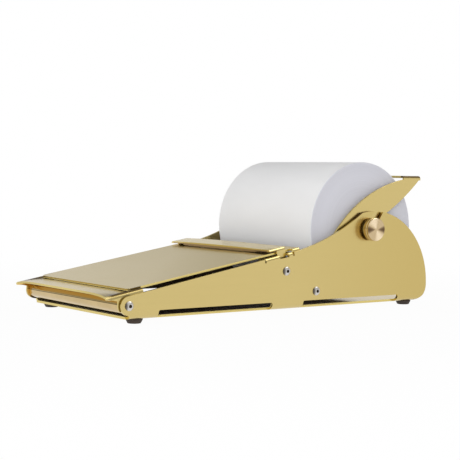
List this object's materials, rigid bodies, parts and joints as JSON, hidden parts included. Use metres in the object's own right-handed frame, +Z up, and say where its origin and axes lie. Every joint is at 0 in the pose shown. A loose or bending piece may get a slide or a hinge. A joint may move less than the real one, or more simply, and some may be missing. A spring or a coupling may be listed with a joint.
{
  "type": "memo roll dispenser",
  "caption": "Desk memo roll dispenser of folded brass sheet: a raked writing deck with an arched tear lip and a hold-down bar, and a paper roll on a lift-out axle with a swinging bail.",
  "frame": {"origin": "on the table under the middle of the object's outline", "axes": "+X to the right seen from the writing end, +Y from the tear lip back to the roll, +Z up"},
  "size_m": [0.1032, 0.2004, 0.0764],
  "materials": {
    "satin_brass": "satin brushed sheet with bright cut edges",
    "turned_brass": "fine turned",
    "screw_steel": "bright",
    "nylon": "matte",
    "memo_paper": "smooth wound paper",
    "core_card": "plain card",
    "foot_rubber": "matte"
  },
  "bodies": {
    "stand": {"chassis": "satin_brass", "front_bar": "turned_brass", "tear_plate": "satin_brass", "tear_plate_screws": "screw_steel", "writing_deck": "satin_brass", "deck_upper_screws": "screw_steel", "deck_lower_screws": "screw_steel", "deck_nuts": "screw_steel", "foot_front_right": "foot_rubber", "foot_front_left": "foot_rubber", "foot_rear_right": "foot_rubber", "foot_rear_left": "foot_rubber"},
    "spool": {"axle": "turned_brass", "thrust_washers": "nylon", "bail_spacers": "nylon"},
    "roll": {"paper_roll": "memo_paper", "roll_core": "core_card"},
    "bail": {"roll_bail": "satin_brass"},
    "clamp_right": {"knob_washer_right": "nylon"},
    "clamp_left": {"knob_washer_left": "nylon"},
    "right_knob": {"knob_right": "turned_brass"},
    "left_knob": {"knob_left": "turned_brass"},
    "hold_down": {"paper_bar": "satin_brass"}
  },
  "joints": [
    {"name": "spool_lift", "type": "slide", "parent": "stand", "child": "spool", "axis": [0, 0.5592, 0.829], "range_m": [0, 0.03]},
    {"name": "roll_spin", "type": "hinge", "parent": "spool", "child": "roll", "pos_m": [0, 0.058, 0.04145], "axis": [1, 0, 0], "continuous": true},
    {"name": "bail_swing", "type": "hinge", "parent": "spool", "child": "bail", "pos_m": [0, 0.058, 0.04145], "axis": [1, 0, 0], "range_deg": [-75, 140]},
    {"name": "knob_right_travel", "type": "slide", "parent": "spool", "child": "clamp_right", "axis": [1, 0, 0], "range_m": [0, 0.0014]},
    {"name": "knob_right_turn", "type": "hinge", "parent": "clamp_right", "child": "right_knob", "pos_m": [0.047, 0.058, 0.04145], "axis": [1, 0, 0], "range_deg": [0, 720]},
    {"name": "knob_left_travel", "type": "slide", "parent": "spool", "child": "clamp_left", "axis": [-1, 0, 0], "range_m": [0, 0.0014]},
    {"name": "knob_left_turn", "type": "hinge", "parent": "clamp_left", "child": "left_knob", "pos_m": [-0.047, 0.058, 0.04145], "axis": [-1, 0, 0], "range_deg": [0, 720]},
    {"name": "paper_bar_lift", "type": "slide", "parent": "stand", "child": "hold_down", "axis": [0, -0.1676, 0.9858], "range_m": [0, 0.003]}
  ],
  "couplings": [
    {"joint": "knob_right_travel", "follows": "knob_right_turn", "m_per_rad": 0.00011141},
    {"joint": "knob_left_travel", "follows": "knob_left_turn", "m_per_rad": 0.00011141}
  ]
}
